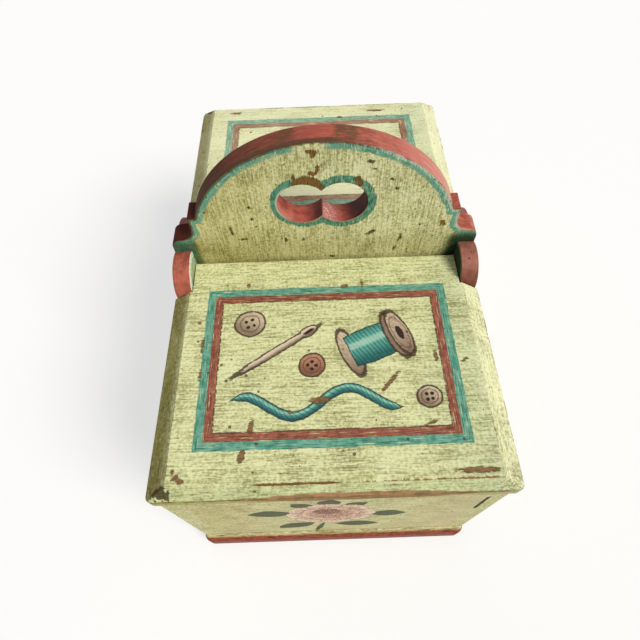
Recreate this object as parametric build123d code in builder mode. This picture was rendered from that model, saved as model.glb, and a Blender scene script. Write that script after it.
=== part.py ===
from build123d import *
import math
import os

# A wooden sewing carrier: an open case on a moulded base, split in two by a board that rises
# through the top as the handle, and closed by two lids that swing up against that board.
# Millimetres. X runs across, -Y is the front, +Z is up; the origin is under the middle of the base.

# ---------------------------------------------------------------- driving dimensions

# Case
case_width = 251.0              # outside faces of the two sides
case_length = 403.0             # outside faces of the front and rear panels
case_top = 187.0                # top edge of the walls above the ground
side_thickness = 14.5
panel_thickness = 14.5

# Base board
base_thickness = 19.0
base_end_overhang = 6.5
base_side_overhang = 1.5
base_corner_radius = 8.0
base_top_round = 4.0
base_bottom_round = 2.0

# Lids
lid_thickness = 19.0
lid_side_overhang = 1.5         # lid beyond the sides
lid_end_overhang = 4.0          # lid beyond the front and rear panels
lid_bevel_drop = 9.8
lid_side_bevel_run = 14.8
lid_end_bevel_run = 7.2
lid_corner_round = 5.0
lid_back_round = 2.0
lid_arris_round = 0.8
lid_seat_clearance = 0.3        # under the closed lid
lid_back_clearance = 2.4        # closed lid to the handle board
tongue_clearance = 1.0          # lid tongue to the ears, each side
shoulder_clearance = 0.7        # lid notch to the end of the ear

# Handle board, its heights counted from the top of the closed lids
board_thickness = 18.5
arch_rise = 97.0
arch_centre_height = 20.8
ledge_height = 51.0
ledge_width = 5.6               # from the foot of the arch to the neck
cove_radius = 11.6              # hollow between the neck and the knob
knob_height = 27.0
knob_radius = 8.0
board_arris_round = 1.0
finger_bore_radius = 19.2
finger_bore_spacing = 29.8
finger_hole_height = 62.4
finger_hole_offset = -1.2       # cut by eye, a little to the left of the middle

# Ears on the sides, round the hinge pins
ear_radius = 23.2
ear_centre_drop = 8.6           # below the top of the closed lids
ear_centre_offset = 8.85        # from the face of the handle board
ear_arris_round = 1.0

# Hinge pins
pin_radius = 3.0
pin_offset = 9.05               # from the face of the handle board
pin_drop = 6.5                  # below the top of the closed lids
pin_reach = 17.0                # into the lid
pin_head_proud = 0.6
pin_running_clearance = 0.06
pin_end_clearance = 1.5

# Nails
nail_radius = 1.2
nail_head_radius = 2.8
nail_head_thickness = 0.9
nail_tip_length = 4.0
nail_tip_radius = 0.2
nail_grip = 21.0                # into the second board
nail_head_inset = 0.6           # base nail heads above the ground
nails_per_corner = 3
nails_per_divider_end = 3
nails_per_wall_half = 2
panel_nail_offset = 62.0        # base nails of the panels and the divider, from the middle
nail_end_margin = 28.0          # first and last nail from the ends of a joint

# ---------------------------------------------------------------- derived dimensions

half_width = case_width / 2
half_length = case_length / 2
inner_half_width = half_width - side_thickness
inner_half_length = half_length - panel_thickness
half_board = board_thickness / 2

lid_bottom = case_top + lid_seat_clearance
lid_top = lid_bottom + lid_thickness
lid_back = half_board + lid_back_clearance
lid_end = half_length + lid_end_overhang
lid_half_width = half_width + lid_side_overhang
tongue_half_width = inner_half_width - tongue_clearance

ear_centre_z = lid_top - ear_centre_drop
ear_centre_setback = half_board + ear_centre_offset
ear_end = ear_centre_setback + ear_radius
notch_end = ear_end + shoulder_clearance
pin_z = lid_top - pin_drop
pin_setback = half_board + pin_offset

arch_centre_z = lid_top + arch_centre_height
ledge_z = lid_top + ledge_height
knob_top_z = lid_top + knob_height
neck_half_width = half_width - knob_radius - cove_radius
ledge_angle = math.asin((ledge_z - arch_centre_z) / arch_rise)
arch_half_width = (neck_half_width - ledge_width) / math.cos(ledge_angle)
finger_hole_z = lid_top + finger_hole_height


# ---------------------------------------------------------------- fasteners and where they go

from_start = (Align.CENTER, Align.CENTER, Align.MIN)


def spread(first, last, count):
    """Evenly spaced positions from first to last."""
    step = (last - first) / max(count - 1, 1)
    return [first + step * i for i in range(count)]


def build_nail(length):
    """A wire nail along +Z, its head's face at the origin."""
    with BuildPart() as nail:
        Cylinder(nail_head_radius, nail_head_thickness, align=from_start)
        Cylinder(nail_radius, length - nail_tip_length, align=from_start)
        with Locations((0, 0, length - nail_tip_length)):
            Cone(nail_radius, nail_tip_radius, nail_tip_length, align=from_start)
    return nail.part


def inward_from_side(side, y, z, proud=0.0):
    """A place on the outside face of one side, or proud of it, its Z axis pointing into the case."""
    return Location((side * (half_width + proud), y, z), (0, -90 * side, 0))


nail_heights = spread(base_thickness + nail_end_margin, case_top - nail_end_margin, nails_per_corner)
divider_nail_heights = spread(
    base_thickness + nail_end_margin, case_top - nail_end_margin, nails_per_divider_end
)
wall_nail_rows = spread(2 * nail_end_margin, inner_half_length - nail_end_margin, nails_per_wall_half)
panel_middle = half_length - panel_thickness / 2
side_middle = half_width - side_thickness / 2

corner_nail_places = {
    side: [inward_from_side(side, end * panel_middle, z) for end in (-1, 1) for z in nail_heights]
    for side in (-1, 1)
}
divider_nail_places = {
    side: [inward_from_side(side, 0, z) for z in divider_nail_heights] for side in (-1, 1)
}
side_base_nail_places = {
    side: [
        Location((side * side_middle, end * y, nail_head_inset)) for end in (-1, 1) for y in wall_nail_rows
    ]
    for side in (-1, 1)
}
panel_base_nail_places = {
    end: [
        Location((side * panel_nail_offset, end * panel_middle, nail_head_inset)) for side in (-1, 1)
    ]
    for end in (-1, 1)
}
divider_base_nail_places = [
    Location((side * panel_nail_offset, 0, nail_head_inset)) for side in (-1, 1)
]
all_base_nail_places = (
    side_base_nail_places[-1]
    + side_base_nail_places[1]
    + panel_base_nail_places[-1]
    + panel_base_nail_places[1]
    + divider_base_nail_places
)

side_nail = build_nail(side_thickness + nail_grip)
base_nail = build_nail(base_thickness - nail_head_inset + nail_grip)


# ---------------------------------------------------------------- base board

with BuildPart() as base_board:
    with BuildSketch():
        RectangleRounded(
            case_width + 2 * base_side_overhang,
            case_length + 2 * base_end_overhang,
            base_corner_radius,
        )
    extrude(amount=base_thickness)
    fillet(base_board.faces().sort_by(Axis.Z)[-1].edges(), base_top_round)
    fillet(base_board.faces().sort_by(Axis.Z)[0].edges(), base_bottom_round)
    with Locations(*all_base_nail_places):
        add(base_nail, mode=Mode.SUBTRACT)
    with Locations(*all_base_nail_places):
        Cylinder(
            nail_head_radius,
            nail_head_inset,
            align=(Align.CENTER, Align.CENTER, Align.MAX),
            mode=Mode.SUBTRACT,
        )


# ---------------------------------------------------------------- sides with their ears

def build_side(side):
    """One side, with two ears that stand above the wall on either side of the handle board."""
    with BuildPart() as wall:
        with BuildSketch(Plane.YZ.offset(side * inner_half_width)):
            with Locations((0, base_thickness)):
                Rectangle(case_length, case_top - base_thickness, align=(Align.CENTER, Align.MIN))
            with Locations((-ear_centre_setback, ear_centre_z), (ear_centre_setback, ear_centre_z)):
                Circle(ear_radius)
            with Locations((0, case_top)):
                Rectangle(2 * ear_end, ear_centre_z - case_top, align=(Align.CENTER, Align.MIN))
                Rectangle(
                    board_thickness,
                    2 * ear_radius,
                    align=(Align.CENTER, Align.MIN),
                    mode=Mode.SUBTRACT,
                )
        extrude(amount=side * side_thickness)
        ear_edges = wall.faces().filter_by(Axis.X).edges().filter_by(GeomType.CIRCLE)
        fillet(ear_edges, ear_arris_round)
        with Locations(*corner_nail_places[side], *divider_nail_places[side]):
            add(side_nail, mode=Mode.SUBTRACT)
        with Locations(*side_base_nail_places[side]):
            add(base_nail, mode=Mode.SUBTRACT)
        with Locations((side * side_middle, -pin_setback, pin_z), (side * side_middle, pin_setback, pin_z)):
            Cylinder(pin_radius, side_thickness, rotation=(0, 90, 0), mode=Mode.SUBTRACT)
    return wall


left_side = build_side(-1)
right_side = build_side(1)


# ---------------------------------------------------------------- front and rear panels

def build_panel(end):
    """The end wall that fits between the two sides."""
    with BuildPart() as panel:
        with BuildSketch(Plane.XY.offset(base_thickness)):
            with Locations((0, end * panel_middle)):
                Rectangle(2 * inner_half_width, panel_thickness)
        extrude(amount=case_top - base_thickness)
        near_nails = [
            place
            for side in (-1, 1)
            for place in corner_nail_places[side]
            if place.position.Y * end > 0
        ]
        with Locations(*near_nails):
            add(side_nail, mode=Mode.SUBTRACT)
        with Locations(*panel_base_nail_places[end]):
            add(base_nail, mode=Mode.SUBTRACT)
    return panel


front_panel = build_panel(-1)
rear_panel = build_panel(1)


# ---------------------------------------------------------------- divider and handle board

def is_rim_edge(edge):
    """Whether an edge runs round the board above the knobs, and not round the finger hole."""
    reach = finger_bore_spacing / 2 + finger_bore_radius
    middle = edge.center()
    level_with_hole = abs(middle.Z - finger_hole_z) < finger_bore_radius
    round_the_hole = level_with_hole and abs(middle.X - finger_hole_offset) < reach
    return middle.Z > knob_top_z - knob_radius and not round_the_hole


with BuildPart() as handle_board:
    with BuildSketch(Plane.XZ):
        with BuildLine():
            arch = EllipticalCenterArc(
                (0, arch_centre_z),
                arch_half_width,
                arch_rise,
                start_angle=math.degrees(ledge_angle),
                arc_size=180 - 2 * math.degrees(ledge_angle),
            )
            for side in (1, -1):
                Polyline(
                    arch @ 0 if side > 0 else arch @ 1,
                    (side * neck_half_width, ledge_z),
                    (side * neck_half_width, knob_top_z + cove_radius),
                )
                CenterArc(
                    (side * (neck_half_width + cove_radius), knob_top_z + cove_radius),
                    cove_radius,
                    180 if side > 0 else 0,
                    90 if side > 0 else -90,
                )
                CenterArc(
                    (side * (half_width - knob_radius), knob_top_z - knob_radius),
                    knob_radius,
                    90,
                    -90 * side,
                )
                Polyline(
                    (side * half_width, knob_top_z - knob_radius),
                    (side * half_width, case_top),
                    (side * inner_half_width, case_top),
                    (side * inner_half_width, base_thickness),
                )
            Line((-inner_half_width, base_thickness), (inner_half_width, base_thickness))
        make_face()
        with Locations(
            (finger_hole_offset - finger_bore_spacing / 2, finger_hole_z),
            (finger_hole_offset + finger_bore_spacing / 2, finger_hole_z),
        ):
            Circle(finger_bore_radius, mode=Mode.SUBTRACT)
    extrude(amount=half_board, both=True)
    rim_edges = handle_board.faces().filter_by(Axis.Y).edges().filter_by(is_rim_edge)
    fillet(rim_edges, board_arris_round)
    with Locations(*divider_nail_places[-1], *divider_nail_places[1]):
        add(side_nail, mode=Mode.SUBTRACT)
    with Locations(*divider_base_nail_places):
        add(base_nail, mode=Mode.SUBTRACT)


# ---------------------------------------------------------------- lids

def is_outer_arris(edge):
    """Whether an edge belongs to the bevels, the outside corners or the lower arris of a lid."""
    return abs(edge.center().Y) > notch_end + shoulder_clearance


def build_lid(end):
    """One lid, bevelled on its three outer edges, with a tongue that fits between the ears."""
    with BuildPart() as lid:
        with BuildSketch(Plane.YZ):
            with BuildLine():
                Polyline(
                    (end * lid_back, lid_bottom),
                    (end * lid_end, lid_bottom),
                    (end * lid_end, lid_top - lid_bevel_drop),
                    (end * (lid_end - lid_end_bevel_run), lid_top),
                    (end * lid_back, lid_top),
                    close=True,
                )
            make_face()
        extrude(amount=lid_half_width, both=True)
        with BuildSketch(Plane.XZ):
            with BuildLine():
                Polyline(
                    (-lid_half_width, lid_bottom),
                    (lid_half_width, lid_bottom),
                    (lid_half_width, lid_top - lid_bevel_drop),
                    (lid_half_width - lid_side_bevel_run, lid_top),
                    (-lid_half_width + lid_side_bevel_run, lid_top),
                    (-lid_half_width, lid_top - lid_bevel_drop),
                    close=True,
                )
            make_face()
        extrude(amount=lid_end, both=True, mode=Mode.INTERSECT)
        back_edges = lid.faces().sort_by(Axis.Y)[0 if end > 0 else -1].edges().filter_by(Axis.X)
        fillet(back_edges.sort_by(Axis.Z)[-1], lid_back_round)
        with BuildSketch(Plane.XY.offset(lid_bottom)):
            with Locations((0, end * (notch_end + lid_end) / 2)):
                plan = Rectangle(2 * lid_half_width, lid_end - notch_end)
            fillet(plan.vertices().sort_by(lambda corner: end * corner.Y)[-2:], lid_corner_round)
            with Locations((0, end * notch_end / 2)):
                Rectangle(2 * tongue_half_width, notch_end)
        extrude(amount=lid_thickness, mode=Mode.INTERSECT)
        fillet(lid.edges().filter_by(is_outer_arris), lid_arris_round)
        with Locations(
            (-tongue_half_width, end * pin_setback, pin_z),
            (tongue_half_width, end * pin_setback, pin_z),
        ):
            Cylinder(
                pin_radius + pin_running_clearance,
                2 * (pin_reach + pin_end_clearance - tongue_clearance),
                rotation=(0, 90, 0),
                mode=Mode.SUBTRACT,
            )
    return lid


front_lid = build_lid(-1)
rear_lid = build_lid(1)


# ---------------------------------------------------------------- hinge pins and nails

def build_pins(end):
    """The two wooden pins that one lid turns on, driven in through the ears."""
    length = pin_head_proud + side_thickness + pin_reach
    with BuildPart() as pins:
        for side in (-1, 1):
            with Locations(inward_from_side(side, end * pin_setback, pin_z, pin_head_proud)):
                Cylinder(pin_radius, length, align=from_start)
    return pins


front_hinge_pins = build_pins(-1)
rear_hinge_pins = build_pins(1)

with BuildPart() as corner_nails:
    with Locations(*corner_nail_places[-1], *corner_nail_places[1]):
        add(side_nail)

with BuildPart() as divider_nails:
    with Locations(*divider_nail_places[-1], *divider_nail_places[1]):
        add(side_nail)

with BuildPart() as base_nails:
    with Locations(*all_base_nail_places):
        add(base_nail)


# ---------------------------------------------------------------- write one file per piece

pieces = {
    "base_board": base_board,
    "left_side": left_side,
    "right_side": right_side,
    "front_panel": front_panel,
    "rear_panel": rear_panel,
    "handle_board": handle_board,
    "front_lid": front_lid,
    "rear_lid": rear_lid,
    "front_hinge_pins": front_hinge_pins,
    "rear_hinge_pins": rear_hinge_pins,
    "corner_nails": corner_nails,
    "divider_nails": divider_nails,
    "base_nails": base_nails,
}

os.makedirs("parts", exist_ok=True)
for name, piece in pieces.items():
    piece.part.label = name
    export_step(piece.part, f"parts/{name}.step")
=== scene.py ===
"""Dresses a painted wooden sewing carrier: aged milk paint, painted borders and pictures, worn pine."""

from __future__ import annotations

import logging
import math
from collections.abc import Mapping, Sequence
from dataclasses import dataclass
from enum import Enum

import bmesh
import bpy
from mathutils import Matrix, Vector

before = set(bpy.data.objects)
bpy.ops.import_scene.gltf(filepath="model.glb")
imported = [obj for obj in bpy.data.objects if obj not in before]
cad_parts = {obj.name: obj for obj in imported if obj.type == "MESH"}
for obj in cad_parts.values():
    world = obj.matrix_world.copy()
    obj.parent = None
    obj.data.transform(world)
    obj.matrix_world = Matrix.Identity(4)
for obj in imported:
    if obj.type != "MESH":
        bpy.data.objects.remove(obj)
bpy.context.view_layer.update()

log = logging.getLogger("sewing_carrier")

MM = 0.001
METRES_TO_MM = 1000.0
CHALKY_GLOSS = 0.2  # milk paint is porous and gives back far less light than varnish does
WOOD_IOR = 1.5

CASE_TOP = 187.0  # mm above the ground, like all heights below
CASE_HALF_WIDTH = 125.5  # mm from the middle, like all places below
BRUSH_RUN = 13.0  # mm that one mark of a bristle runs on
BRISTLE_GAP = 0.75  # mm from one bristle's mark to the next
NEVER = -9.0  # mm, a depth that no chip reaches

INK = "#3d2c20"
HOLLOW = "#2e231b"
HORN_DARK = "#8a7260"
HORN_LIGHT = "#d3bda2"
WHITE = (1.0, 1.0, 1.0, 1.0)

Socket = bpy.types.NodeSocket
Value = float | str | tuple[float, ...] | Socket


def linear(hex_colour: str) -> tuple[float, float, float, float]:
    """Turns an sRGB hex colour to linear light.

    Args:
        hex_colour: the colour as "#rrggbb".

    Returns:
        Red, green, blue and an alpha of 1.
    """
    parts = [int(hex_colour[i : i + 2], 16) / 255 for i in (1, 3, 5)]
    light = [c / 12.92 if c <= 0.04045 else ((c + 0.055) / 1.055) ** 2.4 for c in parts]
    return light[0], light[1], light[2], 1.0


MODE_SETTING = {
    "Math": "operation",
    "VectorMath": "operation",
    "MapRange": "interpolation_type",
    "Mix": "data_type",
}


def add_node(
    tree: bpy.types.NodeTree,
    kind: str,
    *links: Value,
    named: Mapping[str, Value] | None = None,
    **settings: object,
) -> Socket:
    """Adds one node with its settings, and links or fills its inputs.

    Args:
        tree: the node tree it joins.
        kind: the node's type without its ShaderNode prefix, then its mode after a dot, if it has one.
        links: sockets or values for its inputs in order, a colour as a hex string.
        named: sockets or values for its inputs by name.
        settings: the node's other properties.

    Returns:
        The node's first working output, or its first input where it has none.
    """
    base, _, mode = kind.partition(".")
    node = tree.nodes.new("ShaderNode" + base)
    if mode:
        setattr(node, MODE_SETTING[base], mode)
    for key, value in settings.items():
        setattr(node, key, value)
    pairs = list(zip([s for s in node.inputs if s.enabled], links))
    pairs += [(node.inputs[key], value) for key, value in (named or {}).items()]
    for socket, value in pairs:
        if isinstance(value, Socket):
            tree.links.new(value, socket)
        else:
            socket.default_value = linear(value) if isinstance(value, str) else value
    outputs = [s for s in node.outputs if s.enabled]
    return outputs[0] if outputs else node.inputs[0]


class Grain(Enum):
    """The way that a board's fibres and its brush strokes run."""

    ACROSS = (1, 0, 0)
    ALONG = (0, 1, 0)
    UPRIGHT = (0, 0, 1)

    def stretch(self, length: float, width: float) -> tuple[float, float, float]:
        """Scales that draw a noise out along the grain, from its length and width in mm."""
        return tuple(1 / length if axis else 1 / width for axis in self.value)


class End(Enum):
    """The two ends of the case, and which way along Y each of them faces."""

    FRONT = -1.0
    REAR = 1.0


class Hand(Enum):
    """The two sides of the case, and which way along X each of them faces."""

    LEFT = -1.0
    RIGHT = 1.0


class Surface:
    """A material in the making, whose colour, roughness and relief build up coat by coat.

    Masks are 0 where a coat is absent and 1 where it is full. Distances and places are in mm.
    """

    def __init__(self, name: str, grain: Grain) -> None:
        """Starts a material with its coordinates in millimetres.

        Args:
            name: the material's name.
            grain: how the board's fibres run.
        """
        self.material = bpy.data.materials.new(name)
        self.material.use_nodes = True
        self.tree = self.material.node_tree
        self.tree.nodes.clear()
        self.grain = grain
        coordinates = self.add("TexCoord").node.outputs
        self.place = self.add(
            "VectorMath.SCALE", named={"Vector": coordinates["Object"], "Scale": METRES_TO_MM}
        )
        self.x, self.y, self.z = self.add("SeparateXYZ", self.place).node.outputs
        self.width = self.add("Math.ABSOLUTE", self.x)
        facing = self.add("SeparateXYZ", coordinates["Normal"]).node
        self.facing_x, self.facing_y, self.facing_z = facing.outputs
        self.turns: list[tuple[Socket, Socket, Grain]] = []
        self.colour: Value = "#808080"
        self.roughness: Value = 0.6
        self.height: Value = 0.0

    def add(
        self, kind: str, *links: Value, named: Mapping[str, Value] | None = None, **settings: object
    ) -> Socket:
        """Adds a node to this material; see add_node."""
        return add_node(self.tree, kind, *links, named=named, **settings)

    def streaks(self, length: float, width: float, detail: float = 2.0, shift: float = 0.0) -> Socket:
        """A noise drawn out along the grain.

        Args:
            length: length of a streak in mm.
            width: width of a streak in mm.
            detail: octaves of the noise.
            shift: an offset that gives another pattern of the same kind.

        Returns:
            A value from 0 to 1, about 0.5 in the mean.
        """
        offset = (shift, shift, shift)
        stretch = self.grain.stretch(length, width)
        moved = self.add("Mapping", named={"Vector": self.place, "Location": offset, "Scale": stretch})
        for mask, place, grain in self.turns:
            stretch = grain.stretch(length, width)
            turned = self.add("Mapping", named={"Vector": place, "Location": offset, "Scale": stretch})
            moved = self.add("Mix.VECTOR", mask, moved, turned)
        return self.add(
            "TexNoise", named={"Vector": moved, "Scale": 1.0, "Detail": detail, "Roughness": 0.55}
        )

    def patches(self, size: float, detail: float = 2.0, shift: float = 0.0) -> Socket:
        """An even noise with blotches of that size in mm, from 0 to 1."""
        moved = self.add("Mapping", named={"Vector": self.place, "Location": (shift, shift, shift)})
        return self.add(
            "TexNoise", named={"Vector": moved, "Scale": 1 / size, "Detail": detail, "Roughness": 0.5}
        )

    def bristles(self, run: Value, across: Value, shift: float = 0.0) -> Socket:
        """The marks of a brush that follows a stripe, from 0 to 1.

        Args:
            run: how far along the stripe a point lies.
            across: how far across it.
            shift: an offset that gives another pattern of the same kind.
        """
        path = self.add("CombineXYZ", run, across, shift)
        path = self.add("VectorMath.MULTIPLY", path, (1 / BRUSH_RUN, 1 / BRISTLE_GAP, 1.0))
        return self.add(
            "TexNoise", named={"Vector": path, "Scale": 1.0, "Detail": 2.0, "Roughness": 0.5}
        )

    def arris(self, first: Value, at_first: float, second: Value, at_second: float) -> Socket:
        """Distance from a straight arris, given by where it lies on two axes."""
        away = self.add(
            "CombineXYZ",
            self.add("Math.SUBTRACT", first, at_first),
            self.add("Math.SUBTRACT", second, at_second),
        )
        return self.add("VectorMath.LENGTH", away)

    def apart(self, value: Value, at: Value) -> Socket:
        """How far a value lies from another, to either side of it."""
        return self.add("Math.ABSOLUTE", self.add("Math.SUBTRACT", value, at))

    def wobble(self, amount: float, size: float = 7.0, shift: float = 3.0) -> Socket:
        """An uneven offset in mm, to either side, as of a hand that holds a brush."""
        noise = self.add("Math.SUBTRACT", self.patches(size, detail=3.0, shift=shift), 0.5)
        return self.add("Math.MULTIPLY", noise, 2 * amount)

    def uneven(self, distance: Value, amount: float, size: float = 7.0, shift: float = 3.0) -> Socket:
        """A distance with a wobble in it."""
        return self.add("Math.ADD", distance, self.wobble(amount, size, shift))

    def where(self, value: Value, start: float, end: float, *masks: Value) -> Socket:
        """A mask of the places where a value has passed a soft threshold.

        Args:
            value: the value.
            start: where the mask is 0.
            end: where it is 1, which may be the lower of the two.
            masks: other masks or shares that hold it back.

        Returns:
            The mask.
        """
        level = self.add("MapRange.SMOOTHSTEP", value, start, end)
        for mask in masks:
            level = self.add("Math.MULTIPLY", level, mask)
        return level

    def blend(
        self, first: Value, second: Value, value: Value, start: float, end: float, *masks: Value
    ) -> Socket:
        """A colour that turns into a second one where a value has passed a soft threshold; see where."""
        return self.add("Mix.RGBA", self.where(value, start, end, *masks), first, second)

    def cover(
        self,
        mask: Value,
        colour: Value,
        strength: float = 1.0,
        roughness: float | None = None,
        height: Value | None = None,
    ) -> None:
        """Lays one coat over what is there.

        Args:
            mask: where the coat lies.
            colour: the coat's colour.
            strength: how well it covers.
            roughness: its roughness, if it differs from what is below.
            height: its height, if it lies above or below the surface.
        """
        share = mask if strength == 1.0 else self.add("Math.MULTIPLY", mask, strength)
        self.colour = self.add("Mix.RGBA", share, self.colour, colour)
        if roughness is not None:
            self.roughness = self.add("Mix.FLOAT", share, self.roughness, roughness)
        if height is not None:
            self.height = self.add("Mix.FLOAT", share, self.height, height)

    def stain(self, mask: Value, colour: Value, strength: float) -> None:
        """Darkens what is there as dirt or a glaze does, by multiplying it with a colour."""
        share = self.add("Math.MULTIPLY", mask, strength)
        self.colour = self.add("Mix.RGBA", share, self.colour, colour, blend_type="MULTIPLY")

    def finish(self, metallic: float = 0.0) -> bpy.types.Material:
        """Closes the material.

        Args:
            metallic: 1 for bare metal.

        Returns:
            The finished material.
        """
        bump = self.add("Bump", named={"Strength": 1.0, "Distance": MM, "Height": self.height})
        shader = self.add(
            "BsdfPrincipled",
            named={
                "Base Color": self.colour,
                "Metallic": metallic,
                "Roughness": self.roughness,
                "IOR": WOOD_IOR,
                "Specular IOR Level": CHALKY_GLOSS,
                "Normal": bump,
            },
        )
        self.add("OutputMaterial", named={"Surface": shader})
        return self.material


# ---------------------------------------------------------------- finishes


@dataclass(frozen=True)
class RawPine:
    """Bare pine, sawn and aged: warm brown, with darker growth lines that run along the grain."""

    light: str = "#b98f5c"
    dark: str = "#8f683c"
    line: str = "#654526"
    ring_width: float = 3.2
    roughness: float = 0.78

    def lay(self, s: Surface, mask: Value) -> None:
        """Shows bare wood where the mask is.

        Args:
            s: the surface that it is part of.
            mask: where the wood is bare.
        """
        rings = s.streaks(160.0, self.ring_width, detail=3.0, shift=31.0)
        fibre = s.streaks(14.0, 0.5, detail=1.0, shift=7.0)
        wood = s.blend(self.light, self.dark, rings, 0.35, 0.68)
        wood = s.blend(wood, self.line, fibre, 0.55, 0.72, 0.55)
        s.cover(mask, wood, 1.0, self.roughness, s.add("Math.MULTIPLY", fibre, -0.08))


@dataclass(frozen=True)
class MilkPaint:
    """Milk paint brushed on pine and rubbed with a brown glaze: chalky and mottled, with hairlines
    along the stroke where the glaze has stayed, pale ones where the paint stands proud, and specks."""

    light: str
    middle: str
    dark: str
    glaze: str = "#6e673a"
    fleck: str = "#5a4f2c"
    pale: str = "#e9e8bd"
    stroke_length: float = 26.0
    stroke_width: float = 1.1
    hairs: float = 0.62
    roughness: float = 0.62

    def lay(self, s: Surface, mask: Value = 1.0) -> None:
        """Brushes the paint on where the mask is.

        Args:
            s: the surface that it is part of.
            mask: where the paint lies.
        """
        stroke = s.streaks(self.stroke_length, self.stroke_width, detail=3.0)
        chalk = s.patches(2.2, detail=4.0, shift=47.0)
        cloud = s.patches(24.0, detail=3.0, shift=5.0)
        tone = s.add("Math.MULTIPLY_ADD", chalk, 1.1, stroke)
        tone = s.add("Math.MULTIPLY_ADD", cloud, 0.5, tone)
        paint = s.blend(self.dark, self.middle, tone, 1.08, 1.28)
        paint = s.blend(paint, self.light, tone, 1.28, 1.48)
        s.cover(mask, paint, 1.0, self.roughness, s.add("Math.MULTIPLY", tone, 0.12))
        ridge = s.streaks(self.stroke_length * 0.4, self.stroke_width * 0.6, shift=97.0)
        s.cover(s.where(ridge, 0.60, 0.67, mask), self.pale, 0.45)
        hair = s.streaks(self.stroke_length * 0.35, self.stroke_width * 0.62, shift=53.0)
        hair = s.add("Math.MULTIPLY_ADD", cloud, -0.3, hair)
        s.cover(s.where(hair, 0.465, 0.52, mask), self.glaze, self.hairs, height=-0.1)
        fleck = s.add("Math.MULTIPLY_ADD", cloud, -0.35, s.patches(1.5, shift=71.0))
        s.cover(s.where(fleck, 0.555, 0.59, mask), self.fleck, 0.8, height=-0.15)


@dataclass(frozen=True)
class StripePaint:
    """Thinner paint for borders and edges, laid by hand: streaked along the brush, darker where it
    pooled, with the cream showing through where the bristles ran dry."""

    light: str
    dark: str
    deep: str
    dry: float = 0.5
    roughness: float = 0.55

    def lay(self, s: Surface, mask: Value, bristles: Socket, shift: float = 0.0) -> None:
        """Brushes the stripe on where the mask is.

        Args:
            s: the surface that it is part of.
            mask: where the stripe lies.
            bristles: the marks of its brush.
            shift: an offset in mm for another pattern of blotches.
        """
        blotch = s.patches(4.0, detail=3.0, shift=23.0 + shift)
        blotch = s.add("Math.MULTIPLY_ADD", bristles, 0.8, blotch)
        colour = s.blend(self.dark, self.light, blotch, 0.72, 1.04)
        colour = s.blend(colour, self.deep, bristles, 0.42, 0.34)
        worn = s.where(s.patches(7.0, detail=3.0, shift=61.0 + shift), 0.40, 0.56, self.dry)
        gaps = s.where(bristles, 0.57, 0.66, worn)
        painted = s.add("Math.MULTIPLY", mask, s.add("Math.SUBTRACT", 1.0, gaps))
        s.cover(painted, colour, 1.0, self.roughness)


CREAM_ACROSS = MilkPaint(light="#e5e8b6", middle="#d0d29c", dark="#abac76", hairs=0.54)
CREAM_UPRIGHT = MilkPaint(
    light="#edecc0",
    middle="#d4d39d",
    dark="#aaa870",
    stroke_length=22.0,
    stroke_width=1.0,
    hairs=0.6,
)
CREAM_PANEL = MilkPaint(light="#e3e1b1", middle="#cfcc93", dark="#afa972", hairs=0.5)
TEAL = StripePaint(light="#72ab96", dark="#4d8d79", deep="#316354", dry=0.8)
BARN_RED = StripePaint(light="#a0614d", dark="#834a3a", deep="#5c3328", dry=0.7)
EDGE_RED = StripePaint(light="#b0604e", dark="#93493a", deep="#6f3a2c", dry=0.15)
PINE = RawPine()


@dataclass(frozen=True)
class Chip:
    """A place where the paint has come off: its middle and half sizes, and its slope in degrees."""

    across: float
    along: float
    half_width: float
    half_height: float
    degrees: float = 0.0


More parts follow.
